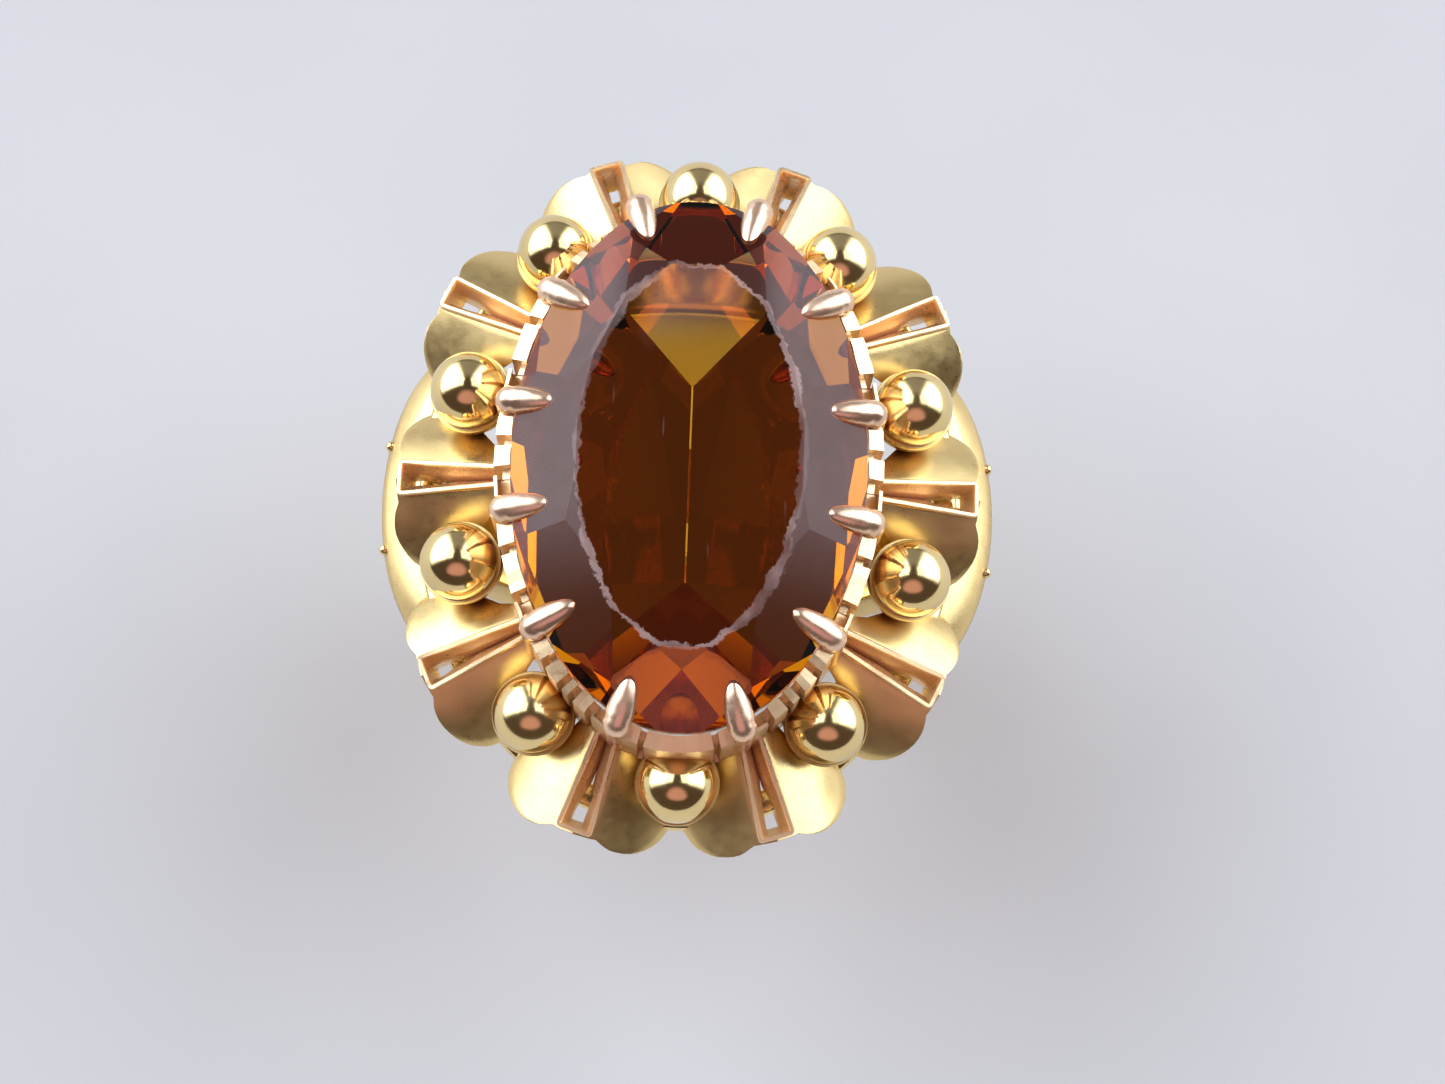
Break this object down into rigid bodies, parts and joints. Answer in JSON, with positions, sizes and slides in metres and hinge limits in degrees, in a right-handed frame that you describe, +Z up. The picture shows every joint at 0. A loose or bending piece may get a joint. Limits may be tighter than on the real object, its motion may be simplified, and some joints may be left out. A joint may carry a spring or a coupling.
{
  "type": "cocktail ring",
  "caption": "Gold cocktail ring: large oval facetted amber stone in a claw collet, set round with folded petals and polished beads on a hoop, wide shoulders and a plain band.",
  "frame": {"origin": "centre of the finger hole", "axes": "+Y along the finger hole's axis, +Z up through the middle of the stone, +X across the finger"},
  "size_m": [0.0246, 0.0278, 0.0275],
  "materials": {
    "stone": "facetted amber stone, polished, worn round the table",
    "polished_gold": "polished yellow gold with fine scratches",
    "satin_gold": "satin yellow gold sheet",
    "rose_gold": "warm gold, filed and bright",
    "claw_gold": "polished rose-tinted gold"
  },
  "bodies": {
    "root": {"base_hoop": "polished_gold", "bead_01": "polished_gold", "bead_02": "polished_gold", "bead_03": "polished_gold", "bead_04": "polished_gold", "bead_05": "polished_gold", "bead_06": "polished_gold", "bead_07": "polished_gold", "bead_08": "polished_gold", "bead_09": "polished_gold", "bead_10": "polished_gold", "bead_dish_01": "satin_gold", "bead_dish_02": "satin_gold", "bead_dish_03": "satin_gold", "bead_dish_04": "satin_gold", "bead_dish_05": "satin_gold", "bead_dish_06": "satin_gold", "bead_dish_07": "satin_gold", "bead_dish_08": "satin_gold", "bead_dish_09": "satin_gold", "bead_dish_10": "satin_gold", "claw_01": "claw_gold", "claw_02": "claw_gold", "claw_03": "claw_gold", "claw_04": "claw_gold", "claw_05": "claw_gold", "claw_06": "claw_gold", "claw_07": "claw_gold", "claw_08": "claw_gold", "claw_09": "claw_gold", "claw_10": "claw_gold", "claw_11": "claw_gold", "claw_12": "claw_gold", "gallery_rail": "rose_gold", "lower_collet_rail": "polished_gold", "petal_01": "satin_gold", "petal_02": "satin_gold", "petal_03": "satin_gold", "petal_04": "satin_gold", "petal_05": "satin_gold", "petal_06": "satin_gold", "petal_07": "satin_gold", "petal_08": "satin_gold", "petal_09": "satin_gold", "petal_10": "satin_gold", "petal_channel_01": "rose_gold", "petal_channel_02": "rose_gold", "petal_channel_03": "rose_gold", "petal_channel_04": "rose_gold", "petal_channel_05": "rose_gold", "petal_channel_06": "rose_gold", "petal_channel_07": "rose_gold", "petal_channel_08": "rose_gold", "petal_channel_09": "rose_gold", "petal_channel_10": "rose_gold", "shank": "polished_gold", "shoulder_granules": "satin_gold", "shoulder_left": "satin_gold", "shoulder_right": "satin_gold", "stone": "stone"}
  },
  "joints": []
}
